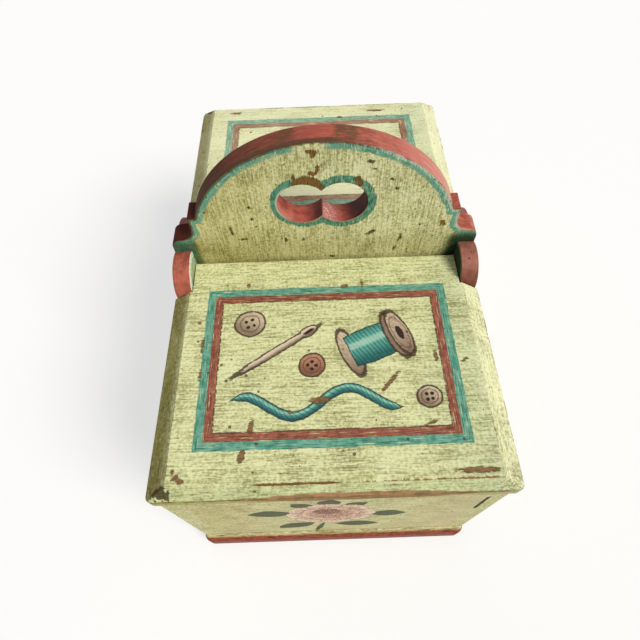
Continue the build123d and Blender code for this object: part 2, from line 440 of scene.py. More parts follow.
@dataclass(frozen=True)
class Wear:
    """What years of use have left: rubbed arrises, chips down to the wood, specks and grime."""

    wood: str = "#8e6238"
    wood_dark: str = "#6b4826"
    speck: str = "#55431f"

    def specks(self, s: Surface, mask: Value = 1.0) -> None:
        """Scatters small dark specks, the largest of them 2 mm across.

        Args:
            s: the surface.
            mask: where they may lie.
        """
        ragged = s.wobble(0.55, size=1.4, shift=29.0)
        for cell, share, radius in ((9.5, 0.5, 1.35), (4.2, 0.6, 0.6)):
            cells = s.add("TexVoronoi", named={"Vector": s.place, "Scale": 1 / cell}).node.outputs
            chance = s.add("SeparateColor", cells["Color"])
            size = s.add("Math.MULTIPLY_ADD", chance, -radius / share, ragged)
            edge = s.add("Math.MULTIPLY_ADD", cells["Distance"], cell, size)
            dot = s.where(edge, 0.15, -0.2, s.where(chance, share, share - 0.01, mask))
            s.cover(dot, self.speck, 0.85, 0.8, -0.1)

    def rub(
        self,
        s: Surface,
        distance: Value,
        width: float,
        mask: Value = 1.0,
        shift: float = 0.0,
        share: float = 0.5,
    ) -> None:
        """Rubs an arris down to brown wood, wider in some places and not at all in others.

        Args:
            s: the surface.
            distance: distance from the arris in mm.
            width: how far the widest wear reaches in mm.
            mask: where the arris may be worn.
            shift: an offset in mm for another pattern.
            share: how much of its length is worn.
        """
        along = s.patches(22.0, detail=4.0, shift=71.0 + shift)
        rough = s.patches(1.8, detail=2.0, shift=13.0 + shift)
        reach = s.add("Math.MULTIPLY", s.where(along, 0.56 - 0.2 * share, 0.78 - 0.2 * share), width)
        edge = s.add("Math.MULTIPLY_ADD", s.where(rough, 0.25, 0.75), 0.9, distance)
        edge = s.add("Math.SUBTRACT", edge, reach)
        tint = s.blend(self.wood, self.wood_dark, rough, 0.42, 0.6)
        s.cover(s.where(edge, 0.3, -0.2, mask), tint, 0.92, 0.75, -0.12)

    def chips(
        self,
        s: Surface,
        chips: Sequence[Chip],
        plane: Socket,
        mask: Value,
        light: str = "#8c6a49",
        dark: str = "#684f2d",
        tear: float = 3.4,
    ) -> None:
        """Knocks chips off the paint: torn along the grain, and with a dark lip.

        Args:
            s: the surface.
            chips: where they are.
            plane: the coordinates in mm that their places are given in.
            mask: where the paint is at all.
            light: the lighter colour of what shows.
            dark: its darker colour.
            tear: how far in mm the grain has torn their edges.
        """
        ragged = s.add("Math.SUBTRACT", s.streaks(3.6, 1.1, detail=2.0, shift=91.0), 0.5)
        deepest: Value = NEVER
        for chip in chips:
            place = s.add(
                "Mapping",
                named={
                    "Vector": plane,
                    "Location": (chip.across, chip.along, 0.0),
                    "Rotation": (0.0, 0.0, math.radians(chip.degrees)),
                    "Scale": (3.0 * chip.half_width, 3.0 * chip.half_height, 1.0),
                },
                vector_type="TEXTURE",
            )
            nearness = s.add("TexGradient", place, gradient_type="SPHERICAL").node.outputs["Fac"]
            size = min(chip.half_width, chip.half_height)
            depth = s.add("Math.MULTIPLY_ADD", nearness, 3.0 * size, -2.0 * size)
            deepest = s.add("Math.MAXIMUM", deepest, depth)
        deepest = s.add("Math.MULTIPLY_ADD", ragged, tear, deepest)
        tint = s.blend(light, dark, ragged, -0.12, 0.15)
        s.cover(s.where(deepest, -0.6, -0.25, mask), "#5f4d2a", 0.45)
        s.cover(s.where(deepest, -0.2, 0.15, mask), tint, 0.95, 0.78, -0.2)


WEAR = Wear()


# ---------------------------------------------------------------- studio


@dataclass(frozen=True)
class SunLamp:
    """A wide, soft lamp: where it shines from, how strong and how soft."""

    name: str
    azimuth: float
    elevation: float
    strength: float
    spread: float
    colour: str

    def hang(self) -> None:
        """Adds the lamp to the scene. Azimuth 0 shines from the front, 90 from the right."""
        data = bpy.data.lights.new(self.name, "SUN")
        data.energy = self.strength
        data.angle = math.radians(self.spread)
        data.color = linear(self.colour)[:3]
        lamp = bpy.data.objects.new(self.name, data)
        bpy.context.scene.collection.objects.link(lamp)
        turn = Matrix.Rotation(math.radians(self.azimuth), 4, "Z")
        tilt = Matrix.Rotation(math.radians(90 - self.elevation), 4, "X")
        lamp.matrix_world = turn @ tilt


@dataclass(frozen=True)
class Studio:
    """A pale room with one broad window to the right of the camera, and the camera itself."""

    camera_place: tuple[float, float, float] = (-4.88, -271.3, 530.8)
    pitch: float = 58.6
    yaw: float = -0.3
    roll: float = -2.3
    focal_pixels: float = 481.0
    image_pixels: float = 640.0
    sensor: float = 36.0
    floor_half: float = 4.0
    floor_drop: float = 0.2
    near_clip: float = 0.01
    sky: float = 0.28
    lamps: tuple[SunLamp, ...] = (
        SunLamp("window", azimuth=54, elevation=44, strength=3.05, spread=26, colour="#fffaf0"),
        SunLamp("wall_glow", azimuth=-150, elevation=38, strength=0.30, spread=70, colour="#f2f6ff"),
    )

    def build(self) -> None:
        """Sets up the floor, the lamps, the world and the camera."""
        self._floor()
        self._world()
        for lamp in self.lamps:
            lamp.hang()
        self._camera()
        bpy.context.scene.view_settings.view_transform = "Standard"

    def _backdrop_rays(self, tree: bpy.types.NodeTree) -> Socket:
        """1 for rays that show the backdrop itself or mirror it, 0 for the light it gives."""
        rays = add_node(tree, "LightPath").node
        seen = rays.outputs["Is Camera Ray"]
        for name in ("Is Glossy Ray", "Is Transmission Ray"):
            seen = add_node(tree, "Math.MAXIMUM", seen, rays.outputs[name])
        return seen

    def _floor(self) -> None:
        """A pale card floor: matte, lifted towards white where it is seen, with the soft shadow kept."""
        shape = bmesh.new()
        bmesh.ops.create_grid(shape, x_segments=1, y_segments=1, size=self.floor_half)
        bmesh.ops.translate(shape, verts=shape.verts, vec=(0, 0, -self.floor_drop * MM))
        mesh = bpy.data.meshes.new("floor")
        shape.to_mesh(mesh)
        shape.free()
        floor = bpy.data.objects.new("floor", mesh)
        bpy.context.scene.collection.objects.link(floor)
        material = bpy.data.materials.new("white_card")
        material.use_nodes = True
        tree = material.node_tree
        tree.nodes.clear()
        seen = self._backdrop_rays(tree)
        tone = add_node(tree, "Mix.RGBA", seen, "#bdbdbb", "#fbfbfa")
        card = add_node(tree, "BsdfDiffuse", named={"Color": tone, "Roughness": 0.0})
        glow = add_node(tree, "Emission", named={"Color": WHITE, "Strength": 1.0})
        share = add_node(tree, "Math.MULTIPLY", seen, 0.6)
        shader = add_node(tree, "MixShader", share, card, glow)
        add_node(tree, "OutputMaterial", named={"Surface": shader})
        mesh.materials.append(material)

    def _world(self) -> None:
        """Even, slightly cool light from all round, white where it is seen."""
        world = bpy.data.worlds.new("studio")
        bpy.context.scene.world = world
        world.use_nodes = True
        tree = world.node_tree
        tree.nodes.clear()
        room = add_node(tree, "Background", named={"Color": "#f7f9ff", "Strength": self.sky})
        white = add_node(tree, "Background", named={"Color": WHITE, "Strength": 1.0})
        shader = add_node(tree, "MixShader", self._backdrop_rays(tree), room, white)
        add_node(tree, "OutputWorld", named={"Surface": shader})

    def _camera(self) -> None:
        """The camera, from above and in front."""
        pitch, yaw, roll = (math.radians(a) for a in (self.pitch, self.yaw, self.roll))
        ahead = Vector(
            (math.sin(yaw) * math.cos(pitch), math.cos(yaw) * math.cos(pitch), -math.sin(pitch))
        )
        level = Vector((math.cos(yaw), -math.sin(yaw), 0))
        upward = level.cross(ahead)
        right = level * math.cos(roll) + upward * math.sin(roll)
        up = upward * math.cos(roll) - level * math.sin(roll)
        data = bpy.data.cameras.new("camera")
        data.sensor_width = self.sensor
        data.lens = self.focal_pixels / self.image_pixels * self.sensor
        data.clip_start = self.near_clip
        camera = bpy.data.objects.new("camera", data)
        bpy.context.scene.collection.objects.link(camera)
        camera.matrix_world = Matrix.Translation(Vector(self.camera_place) * MM) @ Matrix(
            (right, up, -ahead)
        ).transposed().to_4x4()
        bpy.context.scene.camera = camera


def dress(node: str, material: bpy.types.Material) -> None:
    """Gives a CAD node its finish.

    Args:
        node: the node's name.
        material: the finish that it gets.
    """
    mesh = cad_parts[node].data
    mesh.materials.clear()
    mesh.materials.append(material)
    log.info("%s: %s", node, material.name)


# ---------------------------------------------------------------- pictures


class Sketch:
    """A drawing on a flat face, given by distances in mm and laid with a half dry brush."""

    def __init__(self, s: Surface, across: Value, along: Value, visible: Value) -> None:
        """Starts a drawing.

        Args:
            s: the surface that it is painted on.
            across: the drawing's own coordinate to the right.
            along: its coordinate upward.
            visible: where the drawing may lie.
        """
        self.s = s
        self.visible = visible
        waver = s.add("TexNoise", named={"Vector": s.place, "Scale": 0.14, "Detail": 3.0}).node
        waver = s.add("VectorMath.SUBTRACT", waver.outputs["Color"], (0.5, 0.5, 0.5))
        waver = s.add("VectorMath.MULTIPLY", waver, (2.0, 2.0, 0.0))
        self.plane = s.add("VectorMath.ADD", s.add("CombineXYZ", across, along), waver)
        self.pale = s.streaks(5.0, 0.8, shift=111.0)
        self.ragged = s.wobble(0.5, size=1.6, shift=17.0)

    def local(self, centre: tuple[float, float], degrees: float = 0.0) -> Socket:
        """Coordinates about a centre, turned by an angle."""
        return self.s.add(
            "Mapping",
            named={
                "Vector": self.plane,
                "Location": (*centre, 0.0),
                "Rotation": (0.0, 0.0, math.radians(degrees)),
            },
            vector_type="TEXTURE",
        )

    def hatching(self, degrees: float, shift: float = 0.0) -> Socket:
        """A noise of short strokes that slant by an angle, from 0 to 1."""
        slanted = self.local((shift, shift), degrees)
        slanted = self.s.add("VectorMath.MULTIPLY", slanted, (1 / 7, 1 / 0.9, 1.0))
        return self.s.add("TexNoise", named={"Vector": slanted, "Scale": 1.0, "Detail": 1.0})

    def oval(self, place: Socket, half_width: float, half_height: float) -> Socket:
        """Distance from an oval about the origin of its coordinates, negative inside."""
        s = self.s
        size = s.add("VectorMath.DIVIDE", place, (half_width, half_height, 1.0))
        size = s.add("Math.SUBTRACT", s.add("VectorMath.LENGTH", size), 1.0)
        return s.add("Math.MULTIPLY", size, min(half_width, half_height))

    def slab(self, place: Socket, half_width: float, half_height: float, swell: float = 0.0) -> Socket:
        """Distance from a rectangle, whose long sides draw in by so many mm at its ends."""
        s = self.s
        across, along = s.add("SeparateXYZ", place).node.outputs[:2]
        over = s.add("Math.SUBTRACT", s.add("Math.ABSOLUTE", across), half_width)
        bow = s.add("Math.MULTIPLY", across, 1 / half_width)
        bow = s.add("Math.MULTIPLY", s.add("Math.MULTIPLY", bow, bow), swell)
        high = s.add("Math.ADD", s.add("Math.ABSOLUTE", along), bow)
        return s.add("Math.MAXIMUM", over, s.add("Math.SUBTRACT", high, half_height))

    def fill(self, distance: Socket, colour: Value, strength: float = 0.95, thin: float = 0.3) -> None:
        """Fills a shape.

        Args:
            distance: distance from the shape.
            colour: its colour.
            strength: how well the paint covers.
            thin: how much thinner it is where the brush ran dry.
        """
        s = self.s
        edge = s.add("Math.MULTIPLY_ADD", self.ragged, 0.8, distance)
        dry = s.where(self.pale, 0.56, 0.70, thin)
        inside = s.where(edge, 0.3, -0.3, self.visible, s.add("Math.SUBTRACT", 1.0, dry))
        s.cover(inside, colour, strength, 0.55)

    def line(self, distance: Socket, width: float, colour: str = INK, strength: float = 0.9) -> None:
        """Draws a shape's outline with a thin brush, thicker here and thinner there.

        Args:
            distance: distance from the shape.
            width: the line's mean width.
            colour: its colour.
            strength: how well the paint covers.
        """
        s = self.s
        press = s.add("Math.MULTIPLY_ADD", self.pale, -width, self.ragged)
        off = s.add("Math.ADD", s.add("Math.ABSOLUTE", distance), press)
        s.cover(s.where(off, 0.18, -0.22, self.visible), colour, strength, 0.5)


@dataclass(frozen=True)
class Spool:
    """A wooden spool of teal thread that lies on its side, in a three-quarter view."""

    centre: tuple[float, float]
    degrees: float
    half_length: float = 19.0
    half_height: float = 14.5
    flange: float = 21.0
    flange_depth: float = 7.2
    rim: float = 4.2
    outline: float = 1.5

    def draw(self, sketch: Sketch) -> None:
        """Paints the spool, its near flange to the right."""
        s = sketch.s
        place = sketch.local(self.centre, self.degrees)
        across, along = s.add("SeparateXYZ", place).node.outputs[:2]
        far = s.add("VectorMath.ADD", place, (self.half_length, 0.0, 0.0))
        near = s.add("VectorMath.SUBTRACT", place, (self.half_length, 0.0, 0.0))
        face = s.add("VectorMath.SUBTRACT", near, (self.rim, 0.0, 0.0))
        strokes = sketch.hatching(-35.0)
        wood = s.blend(HORN_DARK, HORN_LIGHT, along, -self.flange, self.flange * 0.7)
        wood = s.blend(wood, "#6e5646", strokes, 0.54, 0.62, 0.55)
        shape = sketch.oval(far, self.flange_depth, self.flange)
        sketch.fill(shape, wood)
        sketch.line(shape, self.outline)
        body = sketch.slab(place, self.half_length, self.half_height, swell=1.6)
        sketch.fill(body, self._thread(s, across, along), 1.0, 0.1)
        sketch.line(body, 1.0, "#1d3a3a")
        for middle, colour in ((near, "#8d7461"), (face, wood)):
            shape = sketch.oval(middle, self.flange_depth, self.flange)
            sketch.fill(shape, colour)
            sketch.line(shape, self.outline)
        groove = sketch.oval(face, self.flange_depth * 0.7, self.flange * 0.72)
        sketch.line(groove, 0.8, "#6a5442", 0.7)
        sketch.fill(sketch.oval(face, 2.4, 6.6), HOLLOW, 1.0, 0.0)

    def _thread(self, s: Surface, across: Value, along: Value) -> Socket:
        """The colour of the thread: a gleam above its middle, dark towards its edges, each turn drawn.

        Args:
            s: the surface that it is painted on.
            across: the spool's coordinate along its axis.
            along: the coordinate across it.

        Returns:
            The colour.
        """
        height = s.apart(along, 3.5)
        thread = s.blend("#5fae9f", "#1f5f60", height, 2.0, 16.0)
        slanted = s.add("Math.MULTIPLY_ADD", along, 0.22, across)
        turns = s.add("Math.SINE", s.add("Math.MULTIPLY", slanted, 2.1))
        thread = s.blend(thread, "#173f42", turns, 0.1, 0.8, 0.6)
        gleam = s.where(height, 4.2, 1.2, 0.6)
        return s.add("Mix.RGBA", gleam, thread, "#bfe0cd")


@dataclass(frozen=True)
class Button:
    """A round button with four holes."""

    centre: tuple[float, float]
    radius: float
    dark: str
    light: str
    degrees: float = 20.0

    def draw(self, sketch: Sketch) -> None:
        """Paints the button, lit from its upper right."""
        s = sketch.s
        place = sketch.local(self.centre, self.degrees)
        across, along = s.add("SeparateXYZ", place).node.outputs[:2]
        light = s.add("Math.ADD", across, along)
        shade = s.blend(self.dark, self.light, light, -self.radius, self.radius)
        strokes = sketch.hatching(50.0, shift=self.radius)
        shade = s.blend(shade, self.dark, strokes, 0.54, 0.62, 0.4)
        edge = sketch.oval(place, self.radius, self.radius * 0.94)
        sketch.fill(edge, shade)
        sketch.line(edge, 1.4)
        well = sketch.oval(place, self.radius * 0.66, self.radius * 0.62)
        sketch.line(well, 0.9, "#5c4838", 0.8)
        offset = self.radius * 0.22
        folded = s.add("VectorMath.SUBTRACT", s.add("VectorMath.ABSOLUTE", place), (offset, offset, 0.0))
        sketch.fill(sketch.oval(folded, 1.4, 1.4), "#2c211a", 1.0, 0.0)


@dataclass(frozen=True)
class Needle:
    """A darning needle, thick at its eye and fine at its point."""

    centre: tuple[float, float]
    degrees: float
    half_length: float = 37.0
    half_width: float = 3.0

    def draw(self, sketch: Sketch) -> None:
        """Paints the needle, its eye at the right."""
        s = sketch.s
        place = sketch.local(self.centre, self.degrees)
        along = s.add("SeparateXYZ", place).node.outputs[1]
        shank = sketch.oval(place, self.half_length, self.half_width)
        metal = s.blend("#7d685a", "#dccab0", along, -2.0, 1.2)
        head = s.add("VectorMath.SUBTRACT", place, (self.half_length * 0.8, 0.0, 0.0))
        bulge = sketch.oval(head, 8.0, 4.0)
        shape = s.add("Math.MINIMUM", shank, bulge)
        sketch.fill(shape, metal, 1.0, 0.15)
        sketch.line(shape, 1.2)
        sketch.fill(sketch.oval(head, 5.0, 1.3), HOLLOW, 1.0, 0.0)


@dataclass(frozen=True)
class Yarn:
    """A length of teal yarn that lies in slow waves."""

    start: float
    end: float
    level: float
    swing: float
    wave: float
    phase: float
    rise: float = 0.0
    half_width: float = 3.3

    def draw(self, sketch: Sketch) -> None:
        """Paints the yarn, dark at its lower edge and with a gleam along its upper one."""
        s = sketch.s
        across, along = s.add("SeparateXYZ", sketch.plane).node.outputs[:2]
        pace = 2 * math.pi / self.wave
        turn = s.add("Math.MULTIPLY_ADD", across, pace, self.phase)
        middle = s.add("Math.MULTIPLY_ADD", s.add("Math.SINE", turn), self.swing, self.level)
        middle = s.add("Math.MULTIPLY_ADD", across, self.rise, middle)
        slope = s.add("Math.MULTIPLY", s.add("Math.COSINE", turn), self.swing * pace)
        stretch = s.add("Math.SQRT", s.add("Math.MULTIPLY_ADD", slope, slope, 1.0))
        off = s.add("Math.DIVIDE", s.add("Math.SUBTRACT", along, middle), stretch)
        reach = s.add("Math.SUBTRACT", across, (self.start + self.end) / 2)
        reach = s.add("Math.SUBTRACT", s.add("Math.ABSOLUTE", reach), (self.end - self.start) / 2)
        taper = s.where(reach, 0.0, -14.0)
        edge = s.add("Math.MULTIPLY_ADD", taper, -self.half_width - 0.8, s.add("Math.ABSOLUTE", off))
        edge = s.add("Math.MAXIMUM", s.add("Math.ADD", edge, 0.8), reach)
        colour = s.blend("#215d5f", "#57a596", off, -2.6, 1.6)
        gleam = s.apart(off, 1.3)
        colour = s.blend(colour, "#b4dcc8", gleam, 1.1, 0.3, 0.55)
        twist = s.add("Math.MULTIPLY", s.add("Math.ADD", across, off), 1.7)
        twist = s.add("Math.SINE", twist)
        colour = s.blend(colour, "#163e44", twist, 0.5, 0.95, 0.6)
        sketch.fill(edge, colour, 1.0, 0.1)
        sketch.line(edge, 1.1, "#1b3638")


@dataclass(frozen=True)
class Leaf:
    """One pointed leaf, painted in a single press of a round brush."""

    centre: tuple[float, float]
    degrees: float
    half_length: float
    half_width: float

    def draw(self, sketch: Sketch, scale: float) -> None:
        """Paints the leaf at a scale."""
        s = sketch.s
        place = sketch.local((self.centre[0] * scale, self.centre[1] * scale), self.degrees)
        half_width = self.half_width * scale
        shape = sketch.slab(place, self.half_length * scale, half_width, swell=half_width)
        strokes = sketch.hatching(self.degrees, shift=self.half_length)
        green = s.blend("#232e08", "#434f14", strokes, 0.40, 0.62)
        sketch.fill(shape, green, 0.97, 0.12)


@dataclass(frozen=True)
class Rosette:
    """A folk rose: rings of round petals about a darker heart, with leaves behind it."""

    scale: float = 1.0
    half_width: float = 34.0
    half_height: float = 38.0
    petals: int = 8
    ragged: float = 2.6
    leaves: tuple[Leaf, ...] = (
        Leaf((-49.0, 8.0), 5.0, 19.0, 13.0),
        Leaf((47.0, -4.0), -4.0, 16.0, 12.5),
        Leaf((-31.0, -52.0), 38.0, 21.0, 12.0),
        Leaf((24.0, -51.0), -8.0, 20.0, 12.5),
        Leaf((-22.0, 38.0), -50.0, 11.0, 8.0),
        Leaf((19.0, 38.0), 34.0, 11.0, 7.5),
        Leaf((-1.0, 46.0), 80.0, 12.0, 9.0),
        Leaf((-10.0, -66.0), 80.0, 27.0, 2.6),
    )

    def draw(self, sketch: Sketch) -> None:
        """Paints the leaves, then the flower over them."""
        s = sketch.s
        for leaf in self.leaves:
            leaf.draw(sketch, self.scale)
        across, along = s.add("SeparateXYZ", sketch.plane).node.outputs[:2]
        angle = s.add("Math.ARCTAN2", along, across)
        strokes = s.where(sketch.hatching(82.0, shift=5.0), 0.52, 0.64, 0.55)
        for share, count, dark, light in (
            (1.0, self.petals, "#b27a5e", "#f6dcc2"),
            (0.66, self.petals - 2, "#a26a52", "#efc4a8"),
        ):
            size = self.scale * share
            half_width, half_height = size * self.half_width, size * self.half_height
            wave = s.add("Math.SINE", s.add("Math.MULTIPLY_ADD", angle, count / 2, share))
            wave = s.add("Math.ABSOLUTE", wave)
            edge = sketch.oval(sketch.plane, half_width, half_height)
            edge = s.add("Math.MULTIPLY_ADD", wave, -half_width * 0.1, edge)
            edge = s.uneven(edge, self.ragged, size=2.5, shift=share)
            petal = s.blend(dark, light, edge, -half_width * 0.4, -1.5)
            petal = s.add("Mix.RGBA", strokes, petal, "#f6dcc0")
            dabs = s.patches(1.7, detail=2.0, shift=7.0 * share)
            petal = s.blend(petal, "#f8e6cf", dabs, 0.53, 0.60, 0.75)
            petal = s.blend(petal, "#a0674f", dabs, 0.43, 0.37, 0.7)
            petal = s.blend(petal, "#94604a", wave, 0.22, 0.06, 0.6)
            sketch.fill(edge, petal, 0.95)
            sketch.line(edge, 0.8, "#8b5a45", 0.7)
        heart = sketch.local((-3.0 * self.scale, 12.0 * self.scale))
        heart = sketch.oval(heart, 11.0 * self.scale, 12.0 * self.scale)
        heart = s.uneven(heart, self.ragged, size=2.0, shift=31.0)
        brown = s.blend("#5a3527", "#a8775c", sketch.hatching(75.0), 0.42, 0.6)
        sketch.fill(heart, brown, 0.9)


SPRAY = Rosette(
    scale=0.62,
    leaves=(
        Leaf((-62.0, 8.0), 8.0, 26.0, 14.0),
        Leaf((62.0, 6.0), -8.0, 26.0, 14.0),
        Leaf((-46.0, -26.0), 34.0, 22.0, 11.0),
        Leaf((46.0, -27.0), -34.0, 22.0, 11.0),
        Leaf((-44.0, 34.0), -32.0, 19.0, 10.0),
        Leaf((44.0, 33.0), 32.0, 19.0, 10.0),
    ),
)


# ---------------------------------------------------------------- boards


@dataclass(frozen=True)
class Border:
    """Where a lid's double border lies: its distances from the middle of the case."""

    near: float
    far: float
    half_width: float = 96.4
    teal: float = 6.6
    red: float = 6.1

    @property
    def middle(self) -> float:
        """How far the middle of the bordered field is from the middle of the case."""
        return (self.near + self.far) / 2


@dataclass
class Lid:
    """One lid: cream all round, with a double border and a picture, bare wood underneath."""

    end: End
    border: Border
    chips: tuple[Chip, ...]
    half_width: float = 127.0
    bevelled_half_width: float = 112.2
    bevelled_end: float = 198.3
    top: float = 206.3
    bevel_foot: float = 196.5
    hand_middle: float = 18.0
    hand_reach: tuple[float, float] = (94.0, 24.0)
    dark_corner: tuple[float, float, float] = (-116.0, 202.5, 203.0)
    scuffed_corner: tuple[float, float, float] = (118.0, 203.0, 200.0)

    @property
    def name(self) -> str:
        """The CAD node's name."""
        return "front_lid" if self.end is End.FRONT else "rear_lid"

    def dress(self) -> None:
        """Paints the lid."""
        s = Surface("milk_paint_on_" + self.name, Grain.ACROSS)
        sideways = s.add("Math.ABSOLUTE", s.facing_x)
        s.turns.append((s.where(sideways, 0.3, 0.5), s.place, Grain.ALONG))
        CREAM_ACROSS.lay(s)
        if self.end is End.REAR:
            s.cover(s.where(s.patches(30.0, detail=5.0, shift=25.0), 0.2, 0.6), "#f0f1cb", 0.5)
            # Painted light: a pale patch on the rear lid just behind the middle of the handle board,
            # where the board's shadow falls.
            s.cover(s.where(s.y, 84.0, 66.0, s.where(s.width, 44.0, 30.0)), "#fffbdc", 0.55)
        upward = s.where(s.facing_z, 0.97, 0.99)
        self._bevels(s)
        self._border(s, upward)
        self._picture(s, upward)
        if self.end is End.REAR:
            s.cover(s.where(s.patches(30.0, detail=5.0, shift=25.0), 0.2, 0.6), "#e9ebc0", 0.18)
        WEAR.specks(s)
        WEAR.chips(s, self.chips, s.add("CombineXYZ", s.x, s.y), upward)
        self._arrises(s)
        PINE.lay(s, s.where(s.facing_z, -0.4, -0.6))
        dress(self.name, s.finish())

    def _bevels(self, s: Surface) -> None:
        """Darkens the left bevel with painted shade, patchy like grime and with dark spots, and bleaches
        the right one, where the paint has turned rough.

        Args:
            s: the lid's surface.
        """
        # Painted shade on the left bevel, patchy like grime.
        patchy_darkening = s.where(s.patches(5.0, detail=4.0, shift=37.0), 0.2, 0.55)
        patchy_darkening = s.add("Math.MULTIPLY_ADD", patchy_darkening, 0.35, 0.65)
        patchy_darkening = s.add("Math.MULTIPLY", patchy_darkening, s.where(s.x, -109.0, -119.0))
        s.stain(s.where(s.facing_x, -0.3, -0.5, patchy_darkening), "#aea378", 1.0)
        # Dark olive spots, on the left bevel only.
        dark_spots = s.where(s.patches(3.0, detail=4.0, shift=17.0), 0.54, 0.66, 0.7)
        s.cover(s.where(s.facing_x, -0.3, -0.5, dark_spots), "#5d5332", 0.6, 0.75)
        flaked = s.where(s.patches(2.4, detail=4.0, shift=31.0), 0.42, 0.58)
        rightward = s.where(s.x, 100.0, 122.0)
        s.cover(s.add("Math.MULTIPLY", rightward, flaked), "#eff0d2", 0.5)
        s.stain(s.where(s.x, 60.0, 104.0, s.where(s.x, 116.0, 108.0)), "#f4f8fb", 1.0)
        endward = s.add("Math.MULTIPLY", s.facing_y, self.end.value)
        s.stain(s.where(endward, 0.3, 0.5), "#ebf0ec", 1.0)
        s.stain(s.where(endward, 0.8, 0.9), "#f7eed6", 1.0)
        s.stain(s.where(endward, 0.8, 0.9, s.where(s.x, -20.0, -60.0)), "#f8f4e2", 1.0)

    def _border(self, s: Surface, upward: Socket) -> None:
        """Paints the teal band, and the red band with its fine dark line inside it.

        Args:
            s: the lid's surface.
            upward: where the flat top is.
        """
        b = self.border
        across = s.add("Math.SUBTRACT", s.width, b.half_width)
        along = s.apart(s.y, self.end.value * b.middle)
        along = s.add("Math.SUBTRACT", along, (b.far - b.near) / 2)
        square = s.add("Math.MAXIMUM", across, along)
        bristles = s.bristles(s.add("Math.ADD", s.x, s.y), square)
        out = s.uneven(square, 0.8, size=5.0)
        out = s.add("Math.MULTIPLY_ADD", bristles, 0.5, out)
        shared = s.uneven(square, 0.7, size=4.0, shift=41.0)
        teal = s.where(shared, -b.teal - 0.2, -b.teal + 0.2, s.where(out, 0.45, 0.05), upward)
        TEAL.lay(s, teal, bristles)
        inner = b.teal + b.red
        red = s.where(shared, -b.teal + 0.2, -b.teal - 0.2, s.where(out, -inner, -inner + 0.4), upward)
        BARN_RED.lay(s, red, bristles, shift=5.0)
        dashes = s.where(s.streaks(14.0, 3.0, shift=9.0), 0.36, 0.5, upward)
        for at, width, strength in ((-inner + 0.1, 0.75, 0.85), (-b.teal, 0.4, 0.3)):
            line = s.apart(out, at)
            s.cover(s.where(line, width, width * 0.4, dashes), "#452c20", strength)

    def _picture(self, s: Surface, upward: Socket) -> None:
        """Paints what stands in the border: sewing things in front, a folk rose behind.

        Args:
            s: the lid's surface.
            upward: where the flat top is.
        """
        facing = -self.end.value
        across = s.add("Math.MULTIPLY", s.x, facing)
        along = s.add("Math.MULTIPLY_ADD", s.y, facing, self.border.middle)
        sketch = Sketch(s, across, along, upward)
        if self.end is End.REAR:
            SPRAY.draw(sketch)
            return
        Needle((-40.0, 9.0), 33.0).draw(sketch)
        Yarn(-76.0, 55.0, -33.0, 9.0, 76.0, 0.6, rise=0.06).draw(sketch)
        Spool((34.0, 13.0), 22.0).draw(sketch)
        Button((-61.0, 34.0), 12.0, HORN_DARK, HORN_LIGHT).draw(sketch)
        Button((-13.0, -4.0), 10.0, "#7a4636", "#b87c62", 40.0).draw(sketch)
        Button((71.0, -32.0), 9.0, HORN_DARK, HORN_LIGHT, 5.0).draw(sketch)

    def _arrises(self, s: Surface) -> None:
        """Wears the arrises: most of all the foot of the end bevel, where hands lift the lid.

        Args:
            s: the lid's surface.
        """
        end = self.end.value
        endward = s.add("Math.MULTIPLY", s.facing_y, end)
        grip = s.where(s.apart(s.x, self.hand_middle), *self.hand_reach)
        face = s.where(endward, 0.45, 0.65)
        below = s.add("Math.SUBTRACT", self.bevel_foot, s.z)
        away = s.add("Math.MULTIPLY", below, 0.28)
        away = s.add("Math.MAXIMUM", away, s.add("Math.MULTIPLY", below, -1.0))
        rough = s.add("Math.MULTIPLY_ADD", s.streaks(9.0, 1.4, detail=3.0, shift=29.0), -3.2, away)
        rough = s.add("Math.MULTIPLY_ADD", grip, -3.0, rough)
        worn = s.where(rough, -1.1, -1.8, face)
        tint = s.blend("#a26f4a", "#7c5a34", s.patches(7.0, detail=4.0, shift=3.0), 0.4, 0.6)
        s.cover(worn, tint, 0.85, 0.75, -0.12)
        foot = s.add("Math.ABSOLUTE", s.add("Math.MULTIPLY_ADD", s.wobble(0.8, size=3.0), 1.0, below))
        dashes = s.where(s.streaks(11.0, 2.0, detail=3.0, shift=63.0), 0.42, 0.54)
        s.cover(s.where(foot, 0.9, 0.3, dashes, s.where(endward, 0.3, 0.5)), "#5d4526", 0.7)
        top_arris = s.arris(s.y, end * self.bevelled_end, s.z, self.top)
        held = s.where(s.apart(s.x, 25.0), 90.0, 80.0)
        WEAR.rub(s, top_arris, 1.1, held, shift=4.0, share=1.1)
        held = s.where(s.apart(s.x, -25.0), 32.0, 24.0)
        WEAR.rub(s, top_arris, 1.5, held, shift=4.0, share=1.4)
        pooled = s.where(s.streaks(11.0, 2.0, detail=3.0, shift=79.0), 0.40, 0.52)
        s.cover(s.where(top_arris, 0.8, 0.3, held, pooled), "#54441f", 0.75)
        side_arris = s.arris(s.width, self.bevelled_half_width, s.z, self.top)
        WEAR.rub(s, side_arris, 0.9, shift=37.0, share=0.3)
        side_foot = s.arris(s.width, self.half_width, s.z, self.bevel_foot)
        WEAR.rub(s, side_foot, 1.6, shift=43.0)
        corner = self._from_corner(s, self.dark_corner)
        corner = s.uneven(corner, 7.0, size=3.0, shift=61.0)
        s.cover(s.where(corner, 7.0, 5.0), "#3a2c15", 0.9, 0.8, -0.2)
        scuffed = self._from_corner(s, self.scuffed_corner)
        specks = s.where(s.patches(1.5, detail=3.0, shift=91.0), 0.50, 0.60)
        s.cover(s.where(scuffed, 17.0, 8.0, specks), "#8a8266", 0.7)

    def _from_corner(self, s: Surface, corner: tuple[float, float, float]) -> Socket:
        """Distance from one of the lid's outer corners, whose place is that on the rear lid."""
        across, along, height = corner
        return s.add("VectorMath.DISTANCE", s.place, (across, self.end.value * along, height))


